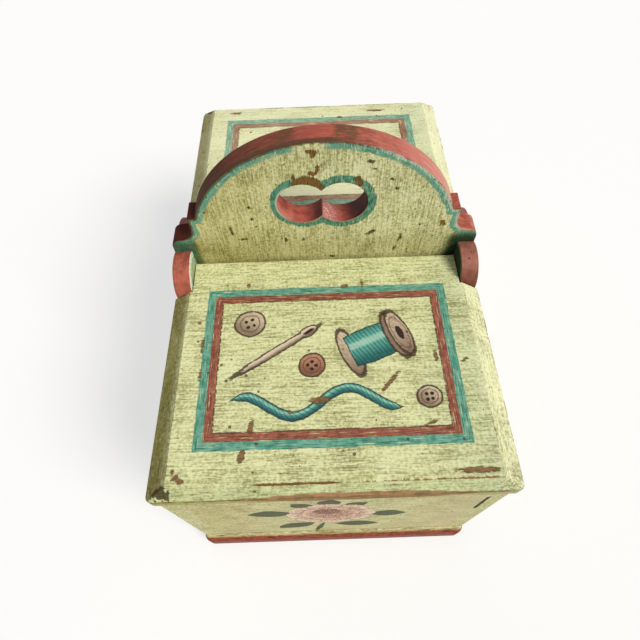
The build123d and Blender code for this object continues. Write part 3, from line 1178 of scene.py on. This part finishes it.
@dataclass
class HandleBoard:
    """The divider: bare inside the case, and above it a painted arch with a finger hole."""

    name: str = "handle_board"
    arch_half_width: float = 105.6
    arch_rise: float = 97.0
    arch_centre: float = 227.1
    ledge: float = 257.3
    neck_half_width: float = 105.9
    cove_radius: float = 11.6
    knob_radius: float = 8.0
    knob_top: float = 233.3
    half_width: float = CASE_HALF_WIDTH
    ear_top: float = 220.9
    inner_half_width: float = 111.0
    hole_middle: float = -1.2
    bore_offset: float = 14.9
    bore_radius: float = 19.2
    hole_height: float = 268.7
    band: float = 5.9
    ring: float = 6.3
    front_face: float = -9.2
    band_beside_ears: float = 2.5
    brown_patches: tuple[tuple[float, float], ...] = ((-25.0, 8.0), (16.0, 11.0))
    chips: tuple[Chip, ...] = (
        Chip(-18.6, 289.6, 4.4, 3.6, 35.0),
        Chip(-12.6, 291.4, 5.2, 4.0),
        Chip(-20.6, 293.6, 1.5, 2.2, 20.0),
        Chip(-6.6, 289.6, 3.6, 5.0, 25.0),
        Chip(-2.6, 285.0, 2.4, 4.4, 28.0),
        Chip(-7.4, 297.4, 3.0, 2.2, 15.0),
        Chip(-4.4, 300.4, 1.2, 3.4, -18.0),
        Chip(-8.6, 315.8, 2.6, 2.0),
        Chip(-6.0, 315.8, 2.4, 2.0),
        Chip(-7.2, 313.4, 2.2, 2.4),
        Chip(25.4, 289.0, 2.3, 4.6, 28.0),
        Chip(93.6, 242.6, 2.6, 3.4, 5.0),
    )
    nicks: tuple[Chip, ...] = (
        Chip(33.8, 306.5, 2.8, 1.1, -10.0),
        Chip(37.6, 235.0, 3.8, 1.5, 38.0),
        Chip(-74.0, 242.6, 1.0, 4.2, 8.0),
        Chip(62.0, 228.0, 1.0, 4.6, -14.0),
        Chip(-65.0, 231.8, 3.2, 0.9),
        Chip(-31.5, 229.4, 1.0, 1.8),
        Chip(-17.2, 229.0, 1.0, 1.9, -15.0),
        Chip(58.6, 214.0, 1.0, 2.6, -12.0),
        Chip(-56.4, 267.4, 1.0, 1.1),
        Chip(-56.0, 254.6, 1.2, 1.1),
        Chip(53.4, 281.2, 1.2, 1.2),
        Chip(49.0, 290.0, 1.3, 1.1),
        Chip(6.2, 206.8, 2.0, 1.6),
        Chip(36.0, 300.0, 1.3, 0.9),
        Chip(76.0, 242.0, 1.0, 0.9),
    )

    def dress(self) -> None:
        """Paints the board."""
        s = Surface("milk_paint_on_handle_board", Grain.UPRIGHT)
        face = s.where(s.add("Math.ABSOLUTE", s.facing_y), 0.75, 0.9)
        rim = s.add("Math.SUBTRACT", 1.0, face)
        high = s.add("Math.SUBTRACT", s.z, self.arch_centre)
        arc = s.add("Math.MULTIPLY", s.add("Math.ARCTAN2", high, s.x), self.arch_rise)
        s.turns.append((rim, s.add("CombineXYZ", 0.0, s.y, arc), Grain.UPRIGHT))
        CREAM_UPRIGHT.lay(s)
        s.stain(s.where(s.z, 250.0, 215.0), "#d6d2c0", 0.8)
        s.stain(s.where(s.x, 30.0, -100.0), "#e9e4c6", 0.8)
        outline = self._outline(s, high)
        hole = self._hole(s)
        self._bands(s, face, outline, hole, arc)
        self._rim(s, rim, hole, arc)
        self._hole_wall(s, rim, face, hole)
        WEAR.specks(s)
        plane = s.add("CombineXYZ", s.x, s.z)
        front = s.where(s.facing_y, -0.75, -0.9)
        WEAR.chips(s, self.nicks, plane, front, "#6b6128", "#4b4315")
        WEAR.chips(s, self.chips, plane, front, "#8a6230", "#674817", 6.5)
        arris = s.apart(outline, -0.5)
        WEAR.rub(s, arris, 1.1, s.add("Math.MULTIPLY", face, s.where(hole, 8.0, 12.0)), 5.0, 0.6)
        dashes = s.where(s.patches(4.0, detail=3.0, shift=91.0), 0.44, 0.56, s.where(s.x, 55.0, 40.0))
        s.cover(s.where(arris, 1.9, 0.9, dashes, face, s.where(hole, 8.0, 12.0)), "#514326", 0.7)
        PINE.lay(s, s.where(s.z, CASE_TOP + 0.2, CASE_TOP - 0.2))
        dress(self.name, s.finish())

    def _outline(self, s: Surface, high: Socket) -> Socket:
        """Distance from the board's outline, negative inside it.

        Args:
            s: the board's surface.
            high: height above the centre of the arch.

        Returns:
            The distance.
        """
        arch = s.add("CombineXYZ", s.x, high)
        arch = s.add("VectorMath.DIVIDE", arch, (self.arch_half_width, self.arch_rise, 1.0))
        arch = s.add("Math.SUBTRACT", s.add("VectorMath.LENGTH", arch), 1.0)
        shape = s.add("Math.MULTIPLY", arch, self.arch_rise)
        cove_height = self.knob_top + self.cove_radius
        knob_middle = self.half_width - self.knob_radius
        for half, top in (
            (self.neck_half_width, self.ledge),
            (self.half_width, self.knob_top - self.knob_radius),
            (knob_middle, self.knob_top),
        ):
            side = s.add("Math.SUBTRACT", s.width, half)
            block = s.add("Math.MAXIMUM", side, s.add("Math.SUBTRACT", s.z, top))
            shape = s.add("Math.MINIMUM", shape, block)
        knob = s.arris(s.width, knob_middle, s.z, self.knob_top - self.knob_radius)
        shape = s.add("Math.MINIMUM", shape, s.add("Math.SUBTRACT", knob, self.knob_radius))
        cove = s.arris(s.width, knob_middle, s.z, cove_height)
        cove = s.add("Math.SUBTRACT", self.cove_radius, cove)
        corner = s.add("Math.MAXIMUM", s.add("Math.SUBTRACT", s.width, knob_middle), cove)
        corner = s.add("Math.MAXIMUM", corner, s.add("Math.SUBTRACT", s.z, cove_height))
        return s.add("Math.MINIMUM", shape, corner)

    def _hole(self, s: Surface) -> Socket:
        """Distance from the finger hole, whose two bores overlap."""
        across = s.apart(s.x, self.hole_middle)
        bore = s.arris(across, self.bore_offset, s.z, self.hole_height)
        return s.add("Math.SUBTRACT", bore, self.bore_radius)

    def _bands(self, s: Surface, face: Socket, outline: Socket, hole: Socket, arc: Socket) -> None:
        """Paints the teal bands: inside the outline, down beside the ears and round the hole. Paints
        shade into the board's lower corners beside the ears, and a pale line along the arris at the
        right, which is partly painted highlight.

        Args:
            s: the board's surface.
            face: where the flat faces are.
            outline: distance from the outline.
            hole: distance from the finger hole.
            arc: how far round the arch a point lies.
        """
        hatch = s.streaks(5.0, 0.9, shift=19.0)
        uneven = s.add("Math.MULTIPLY_ADD", hatch, 3.4, s.wobble(1.2, size=9.0))
        uneven = s.add("Math.SUBTRACT", uneven, 1.7)
        beside_ears = s.add("Math.SUBTRACT", s.width, self.inner_half_width + self.band_beside_ears)
        low = s.where(s.z, self.ear_top + 7.0, self.ear_top + 1.0)
        edge = s.add("Mix.FLOAT", low, outline, beside_ears)
        knob = s.where(s.z, self.knob_top + 2.0, self.knob_top, s.where(s.width, 106.0, 109.0))
        inner = s.where(s.add("Math.ADD", edge, uneven), -self.band - 0.5, -self.band + 0.5)
        inner = s.add("Math.MAXIMUM", inner, knob)
        bare = s.apart(s.x, -9.0)
        kept = s.add("Math.MAXIMUM", s.where(bare, 7.0, 14.0), s.where(s.z, 300.0, 290.0))
        inner = s.add("Math.MULTIPLY", inner, kept)
        bristles = s.bristles(arc, outline, shift=7.0)
        bristles = s.add("Math.MAXIMUM", bristles, s.add("Math.MULTIPLY", hatch, 1.05))
        TEAL.lay(s, s.add("Math.MULTIPLY", inner, face), bristles)
        ring = s.where(s.z, 262.0, 290.0)
        ring = s.add("Math.MULTIPLY_ADD", ring, -1.3, s.add("Math.ADD", hole, uneven))
        ring = s.add("Math.MULTIPLY_ADD", s.where(s.x, 10.0, -30.0), 1.6, ring)
        ring = s.where(ring, self.ring + 0.4, self.ring - 0.4, face)
        TEAL.lay(s, ring, s.add("Math.MULTIPLY", hatch, 1.02), shift=11.0)
        s.stain(ring, "#cfd8c8", 0.7)
        # Painted shade: the board's lower corners beside the ears are darkened, the right one more.
        shade = s.where(s.width, 101.0, 107.0, s.where(s.z, 236.0, 226.0), face)
        s.stain(shade, "#8f9a80", 0.9)
        s.stain(s.where(s.x, 96.0, 106.0, s.where(s.z, 232.0, 222.0), face), "#5f7a66", 0.9)
        line = s.apart(outline, -1.5)
        high = s.where(s.z, 232.0, 238.0, face)
        # Along the arris at the right, a pale line: scratches, and partly painted highlight.
        scratches_and_highlight = s.where(hatch, 0.38, 0.52, high)
        s.cover(s.where(line, 1.7, 0.7, s.where(s.x, 15.0, 55.0), scratches_and_highlight), "#c2ccb8", 0.9)
        s.cover(s.where(line, 1.0, 0.5, s.where(s.x, -10.0, -45.0), high), "#4a4a2c", 0.7)
        s.cover(s.where(outline, -1.3, -0.8, s.where(s.x, 30.0, 5.0), face), "#4f3d28", 0.8)

    def _rim(self, s: Surface, rim: Socket, hole: Socket, arc: Socket) -> None:
        """Paints the rim and the knobs red: darker brown towards the left, and lighter pink towards the
        right, which is painted highlight.

        Args:
            s: the board's surface.
            rim: where the edge faces are.
            hole: distance from the finger hole.
            arc: how far round the arch a point lies.
        """
        EDGE_RED.lay(s, rim, s.bristles(arc, s.y, shift=13.0))
        outer = s.where(hole, 2.0, 4.0, rim)
        arch = s.where(s.z, 262.0, 268.0, outer)
        # Along the arch, darker brown towards the left, and lighter pink towards the right, which is
        # painted highlight.
        strokes = s.add("Math.MULTIPLY_ADD", s.streaks(16.0, 2.2, detail=3.0, shift=83.0), 70.0, s.x)
        s.cover(s.where(strokes, 50.0, 120.0, arch), "#cd7c70", 0.7)
        s.cover(s.where(strokes, 95.0, 130.0, arch), "#d39e8a", 0.6)
        s.stain(s.where(strokes, 60.0, 10.0, outer), "#c09a74", 0.8)
        s.cover(s.where(strokes, 15.0, -65.0, outer), "#3b1f0c", 0.9, 0.9)
        held = s.apart(s.x, -6.0)
        held = s.uneven(held, 6.0, size=5.0, shift=27.0)
        s.cover(s.where(held, 17.0, 9.0, s.where(s.y, -6.0, -3.0), arch), "#bb5a4c", 0.5)
        for middle, reach in self.brown_patches:
            near = s.apart(s.x, middle)
            near = s.where(near, reach, reach - 6.0, s.where(s.y, -7.0, -3.0), arch)
            ragged = s.where(s.streaks(12.0, 1.7, detail=4.0, shift=middle), 0.38, 0.50, near)
            s.cover(ragged, "#63482f", 0.9, 0.8, -0.1)
        olive = s.streaks(18.0, 1.9, detail=3.0, shift=73.0)
        olive = s.where(olive, 0.50, 0.62, s.where(s.x, 8.0, -20.0))
        s.cover(s.add("Math.MULTIPLY", olive, arch), "#6b4a26", 0.6)
        ends = s.add("Math.SUBTRACT", outer, arch)
        s.cover(s.where(s.x, -90.0, -100.0, ends), "#45190f", 0.88, 0.9)
        # Painted highlight: lighter pink patches on the right knob.
        knob_highlight = s.where(s.patches(9.0, detail=3.0, shift=49.0), 0.42, 0.6, s.where(s.z, 247.0, 243.0))
        s.cover(s.where(s.x, 95.0, 100.0, knob_highlight, ends), "#d0897a", 0.7)
        front = s.uneven(s.add("Math.SUBTRACT", s.y, self.front_face), 1.6, size=3.0, shift=35.0)
        front = s.where(front, 4.6, 3.4, s.where(strokes, 80.0, 40.0))
        s.cover(s.add("Math.MULTIPLY", front, arch), "#4e3620", 0.9)

    def _hole_wall(self, s: Surface, rim: Socket, face: Socket, hole: Socket) -> None:
        """Paints the wall of the finger hole red: deep about its middle where fingers have soiled it,
        and dark at its right with painted shade and grime; its lip pale at the left as a painted
        highlight, and worn pale at the bottom.

        Args:
            s: the board's surface.
            rim: where the edge faces are.
            face: where the flat faces are.
            hole: distance from the finger hole.
        """
        wall = s.where(hole, 1.0, 0.4, rim)
        patchy = s.where(s.patches(6.0, detail=3.0, shift=15.0), 0.38, 0.62)
        s.cover(wall, s.add("Mix.RGBA", patchy, "#8c3e32", "#b05a4b"), 0.9, 0.6)
        s.cover(s.where(s.x, -18.0, -30.0, s.where(s.y, 2.0, -8.0), wall), "#d08c78", 0.6)
        s.cover(s.where(s.x, 16.0, 2.0, s.where(s.x, -1.5, 0.0), wall), "#c3837a", 0.5)
        # Painted shade, with grime: the wall darkened towards its right.
        s.stain(s.where(s.x, 10.0, 27.0, wall), "#59291b", 0.95)
        soiled = s.where(s.x, -16.0, -4.0, s.where(s.x, 0.0, -2.0), wall)
        s.stain(soiled, "#7e5046", 0.9)
        specks = s.where(s.patches(1.2, shift=77.0), 0.54, 0.60, s.where(s.x, 14.0, 4.0))
        s.cover(s.where(s.x, -1.5, 1.0, specks, wall), "#e0c4bc", 0.7)
        lip = s.apart(hole, 0.5)
        lip = s.where(lip, 1.1, 0.5, face)
        # Painted highlight: a pale lip at the left of the hole.
        s.cover(s.where(s.x, -24.0, -32.0, lip), "#c3d2c4", 0.8)
        s.cover(s.where(s.z, 262.0, 254.0, lip), "#b8846e", 0.6)


@dataclass
class Side:
    """One side: painted outside and on its ears, bare inside the case."""

    hand: Hand
    ear_setback: float = 18.1
    ear_height: float = 197.7
    ear_radius: float = 23.2
    rose_height: float = 104.0
    teal_edge: tuple[float, float] = (-6.4, -5.6)
    crack: tuple[float, float, float] = (113.9, 110.0, 163.0)

    @property
    def name(self) -> str:
        """The CAD node's name."""
        return "left_side" if self.hand is Hand.LEFT else "right_side"

    def dress(self) -> None:
        """Paints the side."""
        s = Surface("milk_paint_on_" + self.name, Grain.ALONG)
        flat = s.where(s.add("Math.ABSOLUTE", s.facing_x), 0.75, 0.9)
        outward = s.where(s.add("Math.MULTIPLY", s.facing_x, self.hand.value), 0.4, 0.7)
        inward = s.where(s.add("Math.MULTIPLY", s.facing_x, self.hand.value), -0.4, -0.7)
        CREAM_PANEL.lay(s)
        along = s.add("Math.MULTIPLY", s.y, self.hand.value)
        sketch = Sketch(s, along, s.add("Math.SUBTRACT", s.z, self.rose_height), outward)
        Rosette().draw(sketch)
        self._ears(s, flat, inward)
        WEAR.specks(s)
        s.stain(s.where(s.z, 26.0, 19.0), "#cfc4a0", 0.7)
        if self.hand is Hand.RIGHT:
            self._crack(s)
        ends = s.where(s.add("Math.ABSOLUTE", s.facing_y), 0.8, 0.9)
        inside = s.where(s.z, CASE_TOP + 0.3, CASE_TOP - 0.3, s.add("Math.SUBTRACT", 1.0, outward))
        PINE.lay(s, s.add("Math.MULTIPLY", inside, s.add("Math.SUBTRACT", 1.0, ends)))
        dress(self.name, s.finish())

    def _ears(self, s: Surface, flat: Socket, inward: Socket) -> None:
        """Paints the ears: red on the rounded edge, a teal band inside it; painted shade, nearly black,
        on the inward faces of the right ears; and on the left ears a pale band where lids rub, partly
        painted highlight.

        Args:
            s: the side's surface.
            flat: where its flat faces are.
            inward: where it faces the lids.
        """
        above = s.where(s.z, CASE_TOP - 0.5, CASE_TOP + 0.5)
        offset = s.add("Math.SUBTRACT", s.add("Math.ABSOLUTE", s.y), self.ear_setback)
        ear = s.add("CombineXYZ", offset, s.add("Math.SUBTRACT", s.z, self.ear_height))
        ear = s.add("Math.SUBTRACT", s.add("VectorMath.LENGTH", ear), self.ear_radius)
        bristles = s.bristles(s.add("Math.ADD", s.y, s.z), ear, shift=3.0)
        band = s.where(s.uneven(ear, 1.4), *self.teal_edge, flat, above)
        TEAL.lay(s, band, bristles)
        rim = s.where(flat, 1.0, 0.0, above)
        EDGE_RED.lay(s, rim, s.bristles(s.add("Math.ADD", s.y, s.z), s.x, shift=21.0))
        if self.hand is Hand.RIGHT:
            s.cover(rim, "#8c6a5c", 0.45)
            s.stain(s.where(s.y, -30.0, -42.0, rim), "#c0b4a4", 1.0)
            # Painted shade: the inward faces of the right ears, nearly black-green, and dark grey-green
            # along their edge.
            s.cover(s.where(ear, -1.2, -2.4, inward, above), "#101d12", 0.96, 0.9)
            s.cover(s.where(ear, -2.4, -1.2, inward, above), "#4f5a45", 0.9)
        else:
            s.stain(s.where(s.y, 20.0, 30.0, rim), "#6f4c3c", 0.9)
            s.cover(s.where(s.y, -24.0, -32.0, rim), "#c26c58", 0.5)
        # Grime patches on the rims.
        patchy_darkening = s.where(s.patches(9.0, detail=4.0, shift=83.0), 0.56, 0.68, rim)
        s.cover(patchy_darkening, "#6b4a33", 0.5, 0.72, -0.08)
        rubbed = s.wobble(1.6, size=3.0, shift=67.0)
        lip = s.add("Math.ADD", s.apart(ear, -0.9), rubbed)
        # Pale band along the edge of the left ears' inward faces: wear where the lids rub, partly
        # painted highlight.
        if self.hand is Hand.LEFT:
            s.cover(s.where(lip, 4.6, 3.4, inward, above), "#dcdfca", 0.85, 0.7)
            s.cover(s.where(ear, -5.6, -6.4, inward, above), "#7f9c86", 0.7, 0.7)

    def _crack(self, s: Surface) -> None:
        """Opens a dark crack in the front end, where the side has pulled away from the panel."""
        at, low, high = self.crack
        off = s.apart(s.x, at)
        off = s.uneven(off, 1.1, size=4.0, shift=59.0)
        height = s.apart(s.z, (low + high) / 2)
        within = s.where(height, (high - low) / 2, (high - low) / 2 - 8.0)
        front = s.where(s.facing_y, -0.7, -0.9)
        s.cover(s.where(off, 1.8, 1.0, within, front), "#231a10", 0.95, 0.85, -0.6)


@dataclass
class Panel:
    """An end wall: painted outside with a folk rose, bare inside."""

    end: End
    rose: tuple[float, float] = (-3.0, 110.0)

    @property
    def name(self) -> str:
        """The CAD node's name."""
        return "front_panel" if self.end is End.FRONT else "rear_panel"

    def dress(self) -> None:
        """Paints the panel."""
        s = Surface("milk_paint_on_" + self.name, Grain.ACROSS)
        facing = self.end.value
        outward = s.where(s.add("Math.MULTIPLY", s.facing_y, facing), 0.5, 0.8)
        CREAM_PANEL.lay(s)
        s.stain(s.where(s.x, -20.0, -115.0), "#f2e8cc", 0.6)
        s.cover(s.where(s.x, 40.0, 110.0), "#d2bf96", 0.4)
        s.cover(s.where(s.z, 90.0, 30.0), "#e4deb2", 0.25)
        across = s.add("Math.MULTIPLY_ADD", s.x, -facing, -self.rose[0])
        sketch = Sketch(s, across, s.add("Math.SUBTRACT", s.z, self.rose[1]), outward)
        Rosette().draw(sketch)
        WEAR.specks(s)
        s.stain(s.where(s.z, 25.0, 19.0, s.where(s.patches(3.0, detail=3.0), 0.4, 0.6)), "#8d8a66", 0.8)
        PINE.lay(s, s.add("Math.SUBTRACT", 1.0, outward))
        dress(self.name, s.finish())


@dataclass
class Base:
    """The moulded base: its rounded edge red, the ledge round the walls cream."""

    name: str = "base_board"
    thickness: float = 19.0
    half_width: float = CASE_HALF_WIDTH
    half_length: float = 201.5
    cream: float = 3.2

    def dress(self) -> None:
        """Paints the base."""
        s = Surface("milk_paint_on_base_board", Grain.ALONG)
        across = s.add("Math.SUBTRACT", s.width, self.half_width)
        along = s.add("Math.SUBTRACT", s.add("Math.ABSOLUTE", s.y), self.half_length)
        s.turns.append((s.where(along, -1.0, 0.0), s.place, Grain.ACROSS))
        CREAM_PANEL.lay(s)
        s.cover(s.where(s.facing_z, 0.5, 0.8), "#cbc3a2", 0.6)
        s.stain(s.where(along, 1.0, 3.0), "#d6caac", 0.9)
        s.cover(s.where(s.streaks(9.0, 1.6, detail=3.0, shift=12.0), 0.50, 0.60), "#5f5c3c", 0.6)
        out = s.add("Math.MAXIMUM", s.add("Math.MULTIPLY", across, 4.0), along)
        edge = s.where(s.uneven(out, 1.0, size=6.0), self.cream - 0.5, self.cream + 0.5)
        low = s.where(s.z, self.thickness - 1.0, self.thickness - 1.6)
        EDGE_RED.lay(s, s.add("Math.MAXIMUM", edge, low), s.bristles(s.add("Math.ADD", s.x, s.y), s.z))
        s.stain(s.add("Math.MAXIMUM", edge, low), "#d8cec4", 1.0)
        scuffs = s.where(s.streaks(12.0, 2.0, detail=3.0, shift=33.0), 0.56, 0.64)
        s.cover(scuffs, "#6f4c34", 0.5, 0.75, -0.1)
        WEAR.specks(s)
        s.stain(s.where(s.z, 4.0, 0.0), "#8f7a5c", 0.6)
        under = s.where(s.facing_z, -0.7, -0.85)
        covered = s.add("Math.MAXIMUM", across, along)
        inside = s.where(covered, 0.0, -0.4, s.where(s.z, self.thickness - 1.0, self.thickness - 0.5))
        PINE.lay(s, s.add("Math.MAXIMUM", inside, under))
        dress(self.name, s.finish())


@dataclass
class Fastening:
    """A set of nails or pins: their heads show, painted over long ago."""

    name: str
    light: str
    dark: str
    metallic: float = 0.0
    roughness: float = 0.7

    def dress(self) -> None:
        """Finishes the heads: rusty steel or end grain, with the cream still on most of them."""
        s = Surface(self.name + "_finish", Grain.ACROSS)
        rust = s.add("Mix.RGBA", s.patches(1.5, detail=3.0), self.light, self.dark)
        s.cover(1.0, rust, 1.0, self.roughness)
        s.cover(s.where(s.patches(3.0, detail=3.0, shift=5.0), 0.56, 0.44), "#b5b27c", 1.0, 0.65, 0.1)
        dress(self.name, s.finish(self.metallic))


FRONT_CHIPS = (
    Chip(97.0, -193.2, 13.0, 1.9, -1.0),
    Chip(-102.6, -194.0, 3.0, 1.9, -30.0),
    Chip(-105.6, -191.6, 2.4, 1.7, 40.0),
    Chip(-108.0, -188.4, 1.0, 2.0),
    Chip(-57.0, -158.6, 1.9, 4.6, -8.0),
    Chip(-62.5, -179.0, 2.3, 4.6, -10.0),
    Chip(-8.0, -140.5, 7.0, 2.4, 6.0),
    Chip(44.0, -128.0, 9.0, 1.5, 48.0),
    Chip(15.0, -41.4, 2.6, 1.9),
    Chip(29.6, -39.4, 1.2, 3.4),
    Chip(-64.0, -37.6, 1.6, 1.8),
    Chip(-97.0, -92.0, 1.0, 5.0),
    Chip(-96.4, -118.0, 1.1, 3.4),
    Chip(80.0, -108.0, 1.4, 4.0),
    Chip(-101.0, -72.4, 1.6, 1.4),
    Chip(101.5, -112.0, 2.6, 1.0, 20.0),
    Chip(-29.0, -149.0, 1.7, 1.3),
    Chip(69.0, -160.0, 5.0, 0.9, 20.0),
)
REAR_CHIPS = (
    Chip(-88.0, 191.0, 5.0, 1.6),
    Chip(60.0, 188.0, 8.0, 1.5),
    Chip(101.0, 70.0, 1.4, 3.2),
    Chip(-92.0, 118.0, 1.2, 4.4),
    Chip(22.0, 178.0, 2.2, 1.4),
)


def main() -> None:
    """Builds the studio and dresses the carrier, piece by piece."""
    logging.basicConfig(level=logging.INFO, format="%(name)s: %(message)s")
    Studio().build()
    nails = ("corner_nails", "divider_nails", "base_nails")
    pins = ("front_hinge_pins", "rear_hinge_pins")
    for piece in (
        Base(),
        Side(Hand.LEFT),
        Side(Hand.RIGHT),
        Panel(End.FRONT),
        Panel(End.REAR),
        HandleBoard(),
        Lid(End.FRONT, Border(41.6, 175.2), FRONT_CHIPS),
        Lid(End.REAR, Border(51.0, 179.0), REAR_CHIPS),
        *(Fastening(name, "#a97f4e", "#6f4c2a") for name in pins),
        *(Fastening(name, "#6e5a48", "#4a3426", metallic=0.4) for name in nails),
    ):
        piece.dress()


if __name__ == "__main__":
    main()
